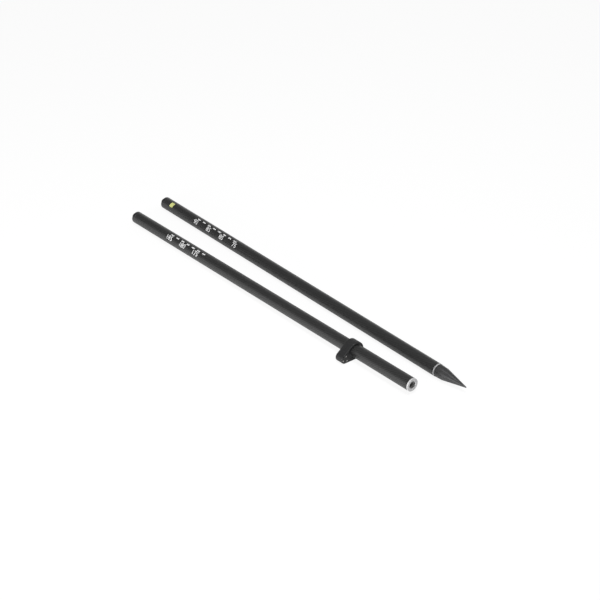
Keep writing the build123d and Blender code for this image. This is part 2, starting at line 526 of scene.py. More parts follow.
@dataclass(frozen=True)
class CarbonWeave(Finish):
    """Twill of carbon tows under a satin lacquer.

    Attributes:
        tows: how many tows lie side by side round the tube.
        tow_width: the width of one tow.
        repeat: after how many tows the weave begins again.
        over: how many of them a tow passes over.
        fibres: how many fibres there are to a millimetre.
        fibre_detail: how finely they break up.
        fibre_share: how much of the pattern is fibres; the rest is the weave.
        lacquer: how much of the lacquer's own reflection shows.
        lacquer_roughness: how satin the lacquer is.
    """

    tows: int = 56
    tow_width: float = 1.604
    repeat: float = 4.0
    over: float = 2.0
    fibres: float = 0.8
    fibre_detail: float = 3.0
    fibre_share: float = 0.5
    lacquer: float = 0.15
    lacquer_roughness: float = 0.3

    def dress(self, paint: Paint) -> None:
        """Weaves two tows over and two under, shifted by one from row to row.

        Args:
            paint: the material under the brush.
        """
        along = paint.z / self.tow_width
        round_tube = paint.y.math("ARCTAN2", paint.x) * (self.tows / TURN)
        step = (along.math("FLOOR") + round_tube.math("FLOOR")) % self.repeat
        lengthwise = step < self.over
        across_warp, across_weft = ((way % 1.0) * 2.0 - 1.0 for way in (round_tube, along))
        slope = lengthwise.choose(across_warp, across_weft)
        crown = (slope * slope) * -1.0 + 1.0
        fibres = paint.noise(self.fibres, self.fibre_detail)
        tone = lengthwise * (1 - self.fibre_share) + fibres * self.fibre_share
        self.lay(paint, tone, crown)
        paint.set(Coat_Weight=self.lacquer, Coat_Roughness=self.lacquer_roughness)


@dataclass(frozen=True)
class TurnedMetal(Finish):
    """Metal from the lathe, with tool marks for its grain and worn edges."""

    wear: float = 0.6
    clouds: float = 0.18
    cloud_share: float = 0.55

    def grains(self, paint: Paint) -> Wire:
        """Gives the tool marks."""
        return paint.lines(self.grain)


@dataclass(frozen=True)
class BoredMetal(TurnedMetal):
    """Turned metal whose bore and end face take colours of their own, such as painted shade.

    Attributes:
        bore: the radius of the bore.
        mouth: the station at which the bore ends.
        inside: the colour inside it, painted shade in a deep bore, and real white paint in a lined
            cup.
        inside_share: how much of that colour shows.
        face: the station beyond which the end face lies.
        face_shade: the colour of that face, a darker grey painted on as shade.
        face_shade_share: how much of that painted shade shows.
    """

    bore: float = 8.2
    mouth: float = 956.1
    # By default the bore is darkened as painted shade, where light would not reach.
    inside: Colour = (0.22, 0.22, 0.215)
    inside_share: float = 0.9
    face: float = 956.95
    # The end face's colour is a darker grey painted on as shade.
    face_shade: Colour = (0.5, 0.5, 0.505)
    face_shade_share: float = 0.85

    def dress(self, paint: Paint) -> None:
        """Lays the turned finish, then the painted shade of the end face and the colour of the
        bore.

        Args:
            paint: the material under the brush.
        """
        super().dress(paint)
        # Painted shade: the end face is made a darker grey than the rest of the metal.
        paint.cover((paint.z > self.face) * self.face_shade_share, self.face_shade)
        # Painted shade: the bore is darkened where light does not reach into it.
        bored = (paint.radius() < self.bore) * (paint.z < self.mouth)
        paint.cover(bored * self.inside_share, self.inside)


@dataclass(frozen=True)
class Clear(Finish):
    """Something polished that light goes through.

    Attributes:
        ior: how strongly it bends light.
    """

    grain: float = 0.25
    ior: float = 1.49

    def dress(self, paint: Paint) -> None:
        """Lays a faint unevenness on a clear body."""
        super().dress(paint)
        paint.set(Transmission_Weight=1.0, IOR=self.ior)


def grey(value: float) -> Colour:
    """Gives a grey without a tint."""
    return (value, value, value)


CARBON = CarbonWeave("carbon_weave", grey(0.013), grey(0.024), glossy=0.36, dull=0.44, depth=0.006)
BLACK_ANODISED = TurnedMetal(
    "black_anodised", (0.014, 0.014, 0.015), (0.028, 0.028, 0.029), dull=0.42, depth=0.004, wear=0.2
)
# Here the bore's colour is the real white paint inside the cup.
WHITE_LINED = BoredMetal(
    "white_lined", BLACK_ANODISED.dark, BLACK_ANODISED.light,
    dull=BLACK_ANODISED.dull, depth=BLACK_ANODISED.depth, wear=BLACK_ANODISED.wear,
    bore=7.35, mouth=9.1, inside=(0.88, 0.89, 0.86), face=10.0,
)
# Its bore is painted dark and its end face grey, as painted shade.
# Its stations suit the upper insert; on the lower section, which is longer, they take in
# the whole flange
PALE_ALLOY = BoredMetal(
    "pale_alloy", (0.68, 0.68, 0.69), grey(0.82),
    glossy=0.36, dull=0.52, metallic=0.35, depth=0.004, grain=3.5, bare=grey(0.88),
)
ZINC_STEEL = TurnedMetal(
    "zinc_steel", (0.44, 0.43, 0.41), (0.62, 0.61, 0.59),
    glossy=0.26, dull=0.42, metallic=0.8, depth=0.004, grain=3.0,
)
BLACKENED_STEEL = TurnedMetal(
    "blackened_steel", (0.030, 0.030, 0.031), (0.066, 0.066, 0.067),
    dull=0.46, metallic=0.3, depth=0.006, grain=2.2, wear=0.5,
)
BRIGHT_STEEL = TurnedMetal(
    "bright_steel", (0.34, 0.33, 0.32), (0.48, 0.47, 0.46),
    glossy=0.24, dull=0.38, metallic=0.8, depth=0.003, grain=5.0,
)
MOULDED_BLACK = Finish(
    "moulded_black", (0.006, 0.006, 0.0065), (0.015, 0.015, 0.016),
    glossy=0.42, dull=0.6, depth=0.05, grain=1.5, bare=grey(0.075), wear=0.6,
)
NYLON = Finish(
    "grey_nylon", (0.05, 0.05, 0.052), (0.085, 0.085, 0.087),
    glossy=0.4, dull=0.55, grain=3.0, bare=grey(0.16), wear=0.4,
)
YELLOW_FILM = Finish("yellow_film", (0.62, 0.65, 0.21), (0.74, 0.77, 0.30), dull=0.42, depth=0.006)
WHITE_INK = Finish("white_ink", grey(0.62), grey(0.86), glossy=0.38, depth=0.004)
BLACK_INK = Finish("black_ink", grey(0.010), grey(0.022), dull=0.45, depth=0.002)
RUBBER = Finish("rubber", grey(0.012), grey(0.024), glossy=0.6, dull=0.8, depth=0.02)
ACRYLIC = Clear("clear_acrylic", (0.96, 0.97, 0.96), grey(1.0), glossy=0.0, dull=0.03, depth=0.001)
SPIRIT = Clear(
    "green_spirit", (0.68, 0.90, 0.32), (0.75, 0.95, 0.39),
    glossy=0.0, dull=0.02, depth=0.001, ior=1.36,
)
AIR = Clear(
    "bubble_air", (0.97, 1.0, 0.93), (1.0, 1.0, 0.98),
    glossy=0.0, dull=0.02, depth=0.001, ior=0.74,
)


def eased(outline: Outline, rounding: float, steps: int) -> EasedOutline:
    """Rounds the corners of an outline, as every real edge is.

    Args:
        outline: stations and radii, in order round the section.
        rounding: the radius of the corners.
        steps: how many faces a rounded corner has.

    Returns:
        Stations, radii, and wear, which is highest in the middle of a rounded corner.
    """
    corners = [Vector(spot) for spot in outline]
    result: EasedOutline = []
    for place, corner in enumerate(corners):
        back = corners[place - 1] - corner
        ahead = corners[(place + 1) % len(corners)] - corner
        bend = back.angle(ahead)
        if corner.y < TOUCH or bend > STRAIGHT:
            result.append((corner.x, corner.y, 0.0))
            continue
        most = CORNER_SHARE * min(back.length, ahead.length)
        reach = min(rounding / math.tan(bend / 2), most)
        enter = corner + back.normalized() * reach
        leave = corner + ahead.normalized() * reach
        for step in range(steps + 1):
            t = step / steps
            spot = enter * (1 - t) ** 2 + corner * (2 * t * (1 - t)) + leave * t**2
            result.append((spot.x, spot.y, math.sin(math.pi * t)))
    return result


class Form:
    """A mesh under construction on an axis, in millimetres with x up and z along."""

    def __init__(self, axis: Axis) -> None:
        """Starts an empty shape.

        Args:
            axis: the line that it is drawn on.
        """
        self.axis = axis
        self.bm = bmesh.new()
        self.wear = self.bm.verts.layers.float.new(EDGE_WEAR)

    @classmethod
    def turned(
        cls, axis: Axis, outline: Outline, rounding: float, sides: int = SIDES, steps: int = 3
    ) -> "Form":
        """Makes a closed solid of revolution.

        Args:
            axis: the line that it is turned on.
            outline: stations and radii, round the section; radius 0 is a pole.
            rounding: the radius of its corners.
            sides: how many faces there are round the axis.
            steps: how many faces a rounded corner has.

        Returns:
            The solid.
        """
        form = cls(axis)
        rings = []
        for station, radius, wear in eased(outline, rounding, steps):
            count = sides if radius > TOUCH else 1
            ring = []
            for place in range(count):
                angle = TURN * place / count
                spot = (radius * math.cos(angle), radius * math.sin(angle), station)
                vertex = form.bm.verts.new(spot)
                vertex[form.wear] = wear
                ring.append(vertex)
            rings.append([*ring, ring[0]] if count > 1 else ring * (sides + 1))
        for ring, after in zip(rings, rings[1:] + rings[:1]):
            form.ladder(ring, after)
        return form

    @classmethod
    def softened(cls, axis: Axis, node: str, edge: float) -> "Form":
        """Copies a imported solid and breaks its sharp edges.

        Args:
            axis: the line that it is drawn on.
            node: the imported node.
            edge: the width of the broken edges.

        Returns:
            The copy.
        """
        form = cls(axis)
        mesh = bpy.data.objects[node].data.copy()
        mesh.transform(axis.matrix().inverted())
        form.take(mesh)
        bm = form.bm
        bmesh.ops.remove_doubles(bm, verts=bm.verts[:], dist=LOOSE)
        bmesh.ops.dissolve_limit(bm, angle_limit=FLAT, verts=bm.verts[:], edges=bm.edges[:])
        broken = bmesh.ops.bevel(
            bm,
            geom=[line for line in bm.edges if line.calc_face_angle(0.0) > BROKEN],
            offset=edge,
            segments=2,
            profile=0.5,
            affect="EDGES",
            clamp_overlap=True,
        )
        strip = set(broken["faces"])
        for vertex in broken["verts"]:
            vertex[form.wear] = float(strip.issuperset(vertex.link_faces))
        return form

    def ladder(self, row: list[bmesh.types.BMVert], after: list[bmesh.types.BMVert]) -> None:
        """Adds the faces between two rows of as many points.

        Args:
            row: the first row; a point that comes twice makes a triangle.
            after: the second row, likewise.
        """
        for loop in zip(row, row[1:], after[1:], after):
            corners = dict.fromkeys(loop)
            if len(corners) > 2:
                self.bm.faces.new(corners)

    def take(self, mesh: bpy.types.Mesh, station: float = 0.0) -> None:
        """Adds a mesh that is drawn in the same way.

        Args:
            mesh: the mesh, which is used up.
            station: how far along the axis it goes.
        """
        mesh.transform(Matrix.Translation((0, 0, station)))
        self.bm.from_mesh(mesh)
        bpy.data.meshes.remove(mesh)

    def mesh(self, name: str) -> bpy.types.Mesh:
        """Ends the shape as a closed mesh.

        Args:
            name: the mesh's name.

        Returns:
            The mesh, still in millimetres on its axis.
        """
        bmesh.ops.remove_doubles(self.bm, verts=self.bm.verts[:], dist=TOUCH)
        bmesh.ops.recalc_face_normals(self.bm, faces=self.bm.faces[:])
        mesh = bpy.data.meshes.new(name)
        self.bm.to_mesh(mesh)
        self.bm.free()
        return mesh

    def settle(
        self, name: str, finish: Finish, body: str, slot: Slot, *nodes: str,
        crisp: float = CRISP, pattern: Union[Axis, None] = None,
    ) -> None:
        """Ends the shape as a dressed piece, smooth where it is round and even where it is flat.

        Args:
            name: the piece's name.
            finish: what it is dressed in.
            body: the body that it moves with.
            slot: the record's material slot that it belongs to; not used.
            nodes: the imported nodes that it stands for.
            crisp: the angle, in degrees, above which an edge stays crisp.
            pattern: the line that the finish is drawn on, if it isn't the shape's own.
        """
        mesh = self.mesh(name)
        mesh.transform(self.axis.matrix())
        mesh.materials.clear()
        mesh.materials.append(finish.paint(pattern or self.axis))
        mesh.shade_smooth()
        mesh.set_sharp_from_angle(angle=math.radians(crisp))
        piece = link(name, mesh)
        even = piece.modifiers.new("even_flats", "WEIGHTED_NORMAL")
        even.keep_sharp = True
        piece.data = plain_mesh(piece)
        piece.modifiers.remove(even)
        bpy.data.meshes.remove(mesh)
        piece.data.name = name
        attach(piece, body)
        if nodes:
            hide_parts(*nodes)
        faces = sum(len(face.vertices) - 2 for face in piece.data.polygons)
        LOG.info("piece %s on %s, %d triangles", piece.name, body, faces)


# Corners of a thread's ridge: 1 and 2 are its crest, 2 and 3 its far side, and 4 is 0 again
RIDGE_CORNERS = 4


@dataclass(frozen=True)
class Stud:
    """The free end of a stud.

    Attributes:
        start: the station of its tip.
        seat: the station of its shoulder.
        tip: the radius of its tip.
        relief: the length of the groove at its foot.
    """

    start: float
    seat: float
    tip: float
    relief: float


@dataclass
class Thread:
    """The 5/8 inch thread of studs and inserts.

    Attributes:
        pitch: the rise of one turn.
        outer: the radius of the stud's crests.
        inner: the radius of the stud's core.
        hole: the radius of the insert's wall.
        bore: the radius of the crests inside the insert.
        root_width: the width of the ridge at its foot.
        crest_width: the width of the ridge at its crest.
        run_out: the turns over which the ridge fades at each end.
        sunk: how far the ridge's foot is let into the wall.
        steps: faces to a turn.
        lead: the length of the cone at a stud's tip.
        relief_radius: the radius of the groove at a stud's foot.
        relief_slope: the length of that groove's sloping side.
        overrun: how far a fading ridge runs past each end of a stud's core.
    """

    pitch: float = 2.309
    outer: float = 7.9
    inner: float = 6.55
    hole: float = 7.95
    bore: float = 6.85
    root_width: float = 2.1
    crest_width: float = 0.34
    run_out: float = 0.5
    sunk: float = 0.1
    steps: int = 56
    lead: float = 0.3
    relief_radius: float = 6.4
    relief_slope: float = 0.2
    overrun: float = 0.3

    def __post_init__(self) -> None:
        """Makes the tree that every ridge comes from."""
        self.recipe = self.ridge()

    def ridge(self) -> Recipe:
        """Builds the tree of a ridge that winds round the axis.

        Returns:
            The tree, whose section is a closed strip of four corners.
        """
        wall = ("Foot", "Crest", "Foot Width", "Crest Width")
        recipe = Recipe("thread_ridge", "Pitch", "Turns", *wall, "Run Out", "Steps")
        given = recipe.given
        rows = given["Turns"] * given["Steps"] + 1.0
        strip = recipe.wire("GeometryNodeMeshGrid", 1.0, 1.0, rows, RIDGE_CORNERS + 1)
        x, y, _ = recipe.split(recipe.wire("GeometryNodeInputPosition"))
        way = x + 0.5
        corner = ((y + 0.5) * float(RIDGE_CORNERS)).math("ROUND")
        crest = (corner > 0.5) * (corner < 2.5)
        right = (corner > 1.5) * (corner < 3.5) * 2.0 - 1.0
        ends = way.math("MINIMUM", way * -1.0 + 1.0)
        fade = (ends * given["Turns"] / given["Run Out"]).math("MINIMUM", 1.0)
        half = crest.choose(given["Crest Width"], given["Foot Width"]) * 0.5
        radius = given["Foot"] + (given["Crest"] - given["Foot"]) * crest * fade
        rise = way * given["Turns"] * given["Pitch"] + right * half * fade
        wound = recipe.wrap(strip, radius, way * given["Turns"] * TURN, rise)
        return recipe.close(recipe.wire("GeometryNodeMergeByDistance", wound, None, LOOSE))

    def wind(self, form: Form, finish: Finish, side: Side, start: float, turns: float) -> None:
        """Winds a ridge on a wall.

        Args:
            form: the piece, with its wall.
            finish: what the piece is dressed in.
            side: the side of the wall that the ridge stands on.
            start: the station at which it begins.
            turns: how many turns it has.
        """
        outside = side is Side.OUTSIDE
        sizes = {
            "Pitch": self.pitch,
            "Turns": turns,
            "Foot": self.inner - self.sunk if outside else self.hole + self.sunk,
            "Crest": self.outer if outside else self.bore,
            "Foot Width": self.root_width,
            "Crest Width": self.crest_width,
            "Run Out": self.run_out,
            "Steps": float(self.steps),
            "Material": finish.paint(form.axis),
        }
        form.take(self.recipe.run(bpy.data.meshes.new("ridge"), sizes), start)

    def studded(
        self, axis: Axis, stud: Stud, rest: Outline, rounding: float, finish: Finish
    ) -> Form:
        """Turns a piece that begins with a stud, and winds the stud's thread.

        Args:
            axis: the line that it is turned on.
            stud: the stud's free end.
            rest: the outline of the piece from the stud's shoulder on.
            rounding: the radius of its corners.
            finish: what the piece is dressed in.

        Returns:
            The piece.
        """
        groove = stud.seat - stud.relief
        outline = [
            (stud.start, 0.0),
            (stud.start, stud.tip),
            (stud.start + self.lead, self.inner),
            (groove - self.relief_slope, self.inner),
            (groove, self.relief_radius),
            (stud.seat, self.relief_radius),
            *rest,
        ]
        form = Form.turned(axis, outline, rounding)
        first = stud.start + self.root_width / 2 - self.overrun
        last = groove - self.root_width / 2 + self.overrun
        self.wind(form, finish, Side.OUTSIDE, first, (last - first) / self.pitch)
        return form


@dataclass(frozen=True)
class HeightScale:
    """A printed scale of heights above the floor, with blocks for the centimetres.

    Attributes:
        lowest: the height at which it begins.
        highest: the height at which it ends.
        block: the length of a block, and of the gap after it.
        width: the width of a block round the tube.
        foot: where blocks begin, round the tube from the middle of the print.
        number_every: the height from number to number.
        number: the size of the numbers.
        number_foot: where numbers stand, round the tube from the middle of the print.
        bold: how much the strokes of the numbers are thickened.
        curve_steps: how finely the curves of the numbers are drawn.
        angle: where the middle of the print lies, in degrees from up.
        ink: the thickness of the ink.
        bend_points: how many points a block has round the tube.
        bend_cuts: how often the faces of the numbers are halved so that they bend.
    """

    lowest: float
    highest: float
    block: float = 10.0
    width: float = 3.4
    foot: float = 5.0
    number_every: float = 50.0
    number: float = 15.5
    number_foot: float = -7.4
    bold: float = 0.3
    curve_steps: int = 3
    angle: float = 44.0
    ink: float = 0.03
    bend_points: int = 9
    bend_cuts: int = 3

    def recipe(self) -> Recipe:
        """Builds the tree that adds the blocks to flat numbers and bends all round a tube.

        Returns:
            The tree, whose flat side has x along the tube and y round it.
        """
        place = ("Radius", "Angle", "Station")
        recipe = Recipe("height_scale", "Blocks", "Block", "Width", "Foot", "Ink", *place)
        given = recipe.given
        middle = given["Foot"] + given["Width"] * 0.5
        first = recipe.vector(given["Block"] * 0.5, middle, given["Ink"] * 0.5)
        gap = recipe.vector(given["Block"] * 2.0, 0.0, 0.0)
        points = recipe.wire("GeometryNodeMeshLine", given["Blocks"], None, first, gap)
        size = recipe.vector(given["Block"], given["Width"], given["Ink"])
        block = recipe.wire("GeometryNodeMeshCube", size, 2, self.bend_points, 2)
        row = recipe.wire("GeometryNodeInstanceOnPoints", points, None, block)
        blocks = recipe.wire("GeometryNodeRealizeInstances", row)
        numbers = recipe.wire("GeometryNodeSubdivideMesh", given["Geometry"], self.bend_cuts)
        joined = recipe.add("GeometryNodeJoinGeometry")
        for part in (numbers, blocks):
            recipe.tree.links.new(part.socket, joined.inputs[0])
        x, y, z = recipe.split(recipe.wire("GeometryNodeInputPosition"))
        flat = Wire(recipe.tree, joined.outputs[0])
        angle = given["Angle"] - y / given["Radius"]
        bent = recipe.wrap(flat, given["Radius"] + z, angle, given["Station"] + x)
        return recipe.close(bent)

    def numbers(self, axis: Axis) -> bpy.types.Mesh:
        """Sets the numbers flat, with x from the highest block toward the lowest.

        Args:
            axis: the tube's axis.

        Returns:
            One mesh of all the numbers, in millimetres.
        """
        flat = Form(axis)
        height = math.floor(self.highest / self.number_every) * self.number_every
        while height >= self.lowest:
            text = bpy.data.curves.new("number", "FONT")
            text.body = f"{height / 10:.0f}"
            text.size = self.number
            text.align_x = "CENTER"
            text.offset = self.bold
            text.extrude = self.ink / 2
            text.resolution_u = self.curve_steps
            host = link("number", text)
            mesh = plain_mesh(host)
            bpy.data.objects.remove(host)
            bpy.data.curves.remove(text)
            spot = (self.highest - height, self.number_foot, self.ink / 2)
            mesh.transform(Matrix.Translation(spot))
            flat.take(mesh)
            height -= self.number_every
        return flat.mesh("numbers")

    def printed(self, axis: Axis, top: float, radius: float, ink: Finish) -> Form:
        """Prints the scale on a tube.

        Args:
            axis: the tube's axis.
            top: the height of the axis's station 0.
            radius: the tube's radius.
            ink: the finish of the print.

        Returns:
            The print.
        """
        sizes = {
            "Blocks": float(round((self.highest - self.lowest) / self.block / 2)),
            "Block": self.block,
            "Width": self.width,
            "Foot": self.foot,
            "Ink": self.ink,
            "Radius": radius,
            "Angle": math.radians(self.angle),
            "Station": top - self.highest,
            "Material": ink.paint(axis),
        }
        form = Form(axis)
        form.take(self.recipe().run(self.numbers(axis), sizes))
        return form


@dataclass
class Section:
    """One carbon section: tube, top fitting, stud, insert and printed scale.

    Attributes:
        label: which section it is.
        stud: the name of its stud.
        axis: its axis, from the shoulder at its top toward its bottom.
        thread: the thread of its stud and insert.
        length: its length from shoulder to insert face.
        top: the height of its shoulder when the pole is joined.
        scale: its printed scale.
    """

    label: str
    stud: str
    axis: Axis
    thread: Thread
    length: float
    top: float
    scale: HeightScale
    tube_radius: float = 14.3
    tube_wall: float = 1.6
    tube_sides: int = 128
    plug_radius: float = 12.65
    head_length: float = 9.0
    head_chamfer: float = 1.3
    plug_length: float = 26.0
    stud_depth: float = 18.0
    stud_length: float = 9.0
    stud_tip: float = 6.3
    stud_edge: float = 0.15
    relief_length: float = 1.5
    flange_length: float = 2.8
    flange_chamfer: float = 0.4
    barrel_length: float = 28.0
    countersink: float = 1.0
    thread_start: float = 1.16
    insert_edge: float = 0.12
    edge: float = 0.25

    def __post_init__(self) -> None:
        """Names the body that it moves with."""
        self.body = f"{self.label}_section"

    def build(self) -> None:
        """Builds its pieces, and then the print on them."""
        self.tube()
        self.top_fitting()
        self.threaded_stud()
        self.insert()
        self.printed_scale()

    def tube(self) -> None:
        """Builds the tube between its two fittings."""
        seat = self.length - self.flange_length
        bore = self.tube_radius - self.tube_wall
        outline = [
            (self.head_length, self.tube_radius),
            (seat, self.tube_radius),
            (seat, bore),
            (self.head_length, bore),
        ]
        form = Form.turned(self.axis, outline, self.edge, self.tube_sides)
        name = f"{self.label}_carbon_tube"
        form.settle(name, CARBON, self.body, Slot.CARBON, f"{self.label}_tube")

    def top_fitting(self) -> None:
        """Builds the fitting that closes the top of the tube."""
        foot = self.head_length + self.plug_length
        outline = [
            (0, self.thread.hole),
            (0, self.tube_radius - self.head_chamfer),
            (self.head_chamfer, self.tube_radius),
            (self.head_length, self.tube_radius),
            (self.head_length, self.plug_radius),
            (foot, self.plug_radius),
            (foot, 0),
            (self.stud_depth, 0),
            (self.stud_depth, self.thread.hole),
        ]
        form = Form.turned(self.axis, outline, self.edge)
        name = f"{self.label}_top_cap"
        form.settle(name, BLACK_ANODISED, self.body, Slot.BLACK_ALLOY, f"{self.label}_top_fitting")

    def threaded_stud(self) -> None:
        """Builds the stud on top, with its thread and the groove at its foot."""
        free = Stud(-self.stud_length, 0.0, self.stud_tip, self.relief_length)
        root = [
            (0, self.thread.outer),
            (self.stud_depth, self.thread.outer),
            (self.stud_depth, 0),
        ]
        form = self.thread.studded(self.axis, free, root, self.stud_edge, ZINC_STEEL)
        name = f"{self.stud}_thread"
        form.settle(name, ZINC_STEEL, self.body, Slot.STUD_STEEL, self.stud, crisp=CRISP_THREAD)

    def insert(self) -> None:
        """Builds the insert in the bottom of the tube, with its thread."""
        hole = self.thread.hole
        seat = self.length - self.flange_length
        back = seat - self.barrel_length
        mouth = self.length - self.countersink
        outline = [
            (back, hole),
            (back, self.plug_radius),
            (seat, self.plug_radius),
            (seat, self.tube_radius),
            (self.length - self.flange_chamfer, self.tube_radius),
            (self.length, self.tube_radius - self.flange_chamfer),
            (self.length, hole + self.countersink),
            (mouth, hole),
        ]
        form = Form.turned(self.axis, outline, self.insert_edge)
        start = back + self.thread_start
        turns = (mouth - start - self.thread.root_width / 2) / self.thread.pitch
        self.thread.wind(form, PALE_ALLOY, Side.INSIDE, start, turns)
        name = f"{self.label}_threaded_insert"
        node = f"{self.label}_socket"
        form.settle(name, PALE_ALLOY, self.body, Slot.INSERT_ALLOY, node, crisp=CRISP_THREAD)

    def printed_scale(self) -> None:
        """Prints the heights on the tube."""
        form = self.scale.printed(self.axis, self.top, self.tube_radius, WHITE_INK)
        form.settle(f"{self.label}_height_scale", WHITE_INK, self.body, Slot.CARBON)


@dataclass
class FilmPatch:
    """Square of yellow film, stuck round the tube near the top of the lower section.

    Attributes:
        section: the section that carries it.
        station: how far down the section its middle lies.
        angle: where its middle lies, in degrees from up.
        span: its width, in degrees round the tube.
        inner: the radius of its under side.
    """

    section: Section
    station: float = 39.7
    length: float = 12.5
    angle: float = 33.0
    span: float = 50.0
    inner: float = 14.32
    thickness: float = 0.13
    corner: float = 1.2
    rows: int = 24
    columns: int = 20

    def layer(self, form: Form, radius: float) -> list[list[bmesh.types.BMVert]]:
        """Sets the points of one side of the film.

        Args:
            form: the film.
            radius: how far that side is from the axis.

        Returns:
            The points, row by row.
        """
        half_length = self.length / 2
        half_width = math.radians(self.span / 2) * self.inner
        grid = []
        for row in range(self.rows + 1):
            along = -half_length * math.cos(math.pi * row / self.rows)
            into = max(0.0, abs(along) - half_length + self.corner)
            width = half_width - self.corner + math.sqrt(max(0.0, self.corner**2 - into**2))
            line = []
            for column in range(self.columns + 1):
                aside = width * (2 * column / self.columns - 1)
                angle = math.radians(self.angle) + aside / self.inner
                spot = (radius * math.cos(angle), radius * math.sin(angle), self.station + along)
                line.append(form.bm.verts.new(spot))
            grid.append(line)
        return grid

    def build(self) -> None:
        """Builds the film with round corners."""
        form = Form(self.section.axis)
        low, high = (self.layer(form, self.inner + rise) for rise in (0.0, self.thickness))
        for grid in (low, high):
            for row, after in zip(grid, grid[1:]):
                form.ladder(row, after)
        for end in (0, -1):
            form.ladder(low[end], high[end])
            form.ladder([row[end] for row in low], [row[end] for row in high])
        body = self.section.body
        form.settle("yellow_film_patch", YELLOW_FILM, body, Slot.YELLOW_FILM, "section_patch")


@dataclass
class GroundPoint:
    """Steel point that screws into the lower section.

    Attributes:
        section: the lower section.
        length: its length from the insert's face to its tip.
        tip_radius: the radius that its cone comes to there.
        nose_radius: the rounding of that end.
    """

    section: Section
    length: float = 79.4
    stud_length: float = 20.0
    stud_tip: float = 6.25
    shoulder_length: float = 18.5
    shoulder_radius: float = 13.85
    cone_radius: float = 13.15
    tip_radius: float = 1.0
    nose_radius: float = 0.7
    nose_steps: int = 8
    edge: float = 0.3
    relief_length: float = 1.8

    def nose(self, tip: float) -> Outline:
        """Gives the outline of the rounded end of the cone, down to the axis.

        Args:
            tip: the station of the very end.

        Returns:
            Stations and radii.
        """
        lean = math.atan2(self.cone_radius - self.tip_radius, self.length - self.shoulder_length)
        flat = self.tip_radius - self.nose_radius / math.tan(math.pi / 4 + lean / 2)
        spots = []
        for step in range(self.nose_steps + 1):
            angle = (math.pi / 2 - lean) * (1 - step / self.nose_steps)
            station = tip + self.nose_radius * (math.cos(angle) - 1)
            spots.append((station, flat + self.nose_radius * math.sin(angle)))
        return [*spots, (tip, 0.0)]

    def build(self) -> None:
        """Builds the point with its threaded stud."""
        seat = self.section.length
        free = Stud(seat - self.stud_length, seat, self.stud_tip, self.relief_length)
        cone = [
            (seat, self.shoulder_radius),
            (seat + self.shoulder_length, self.cone_radius),
            *self.nose(seat + self.length),
        ]
        thread = self.section.thread
        form = thread.studded(self.section.axis, free, cone, self.edge, BLACKENED_STEEL)
        slot = Slot.POINT_STEEL
        form.settle("ground_point", BLACKENED_STEEL, "point", slot, "point", crisp=CRISP_THREAD)


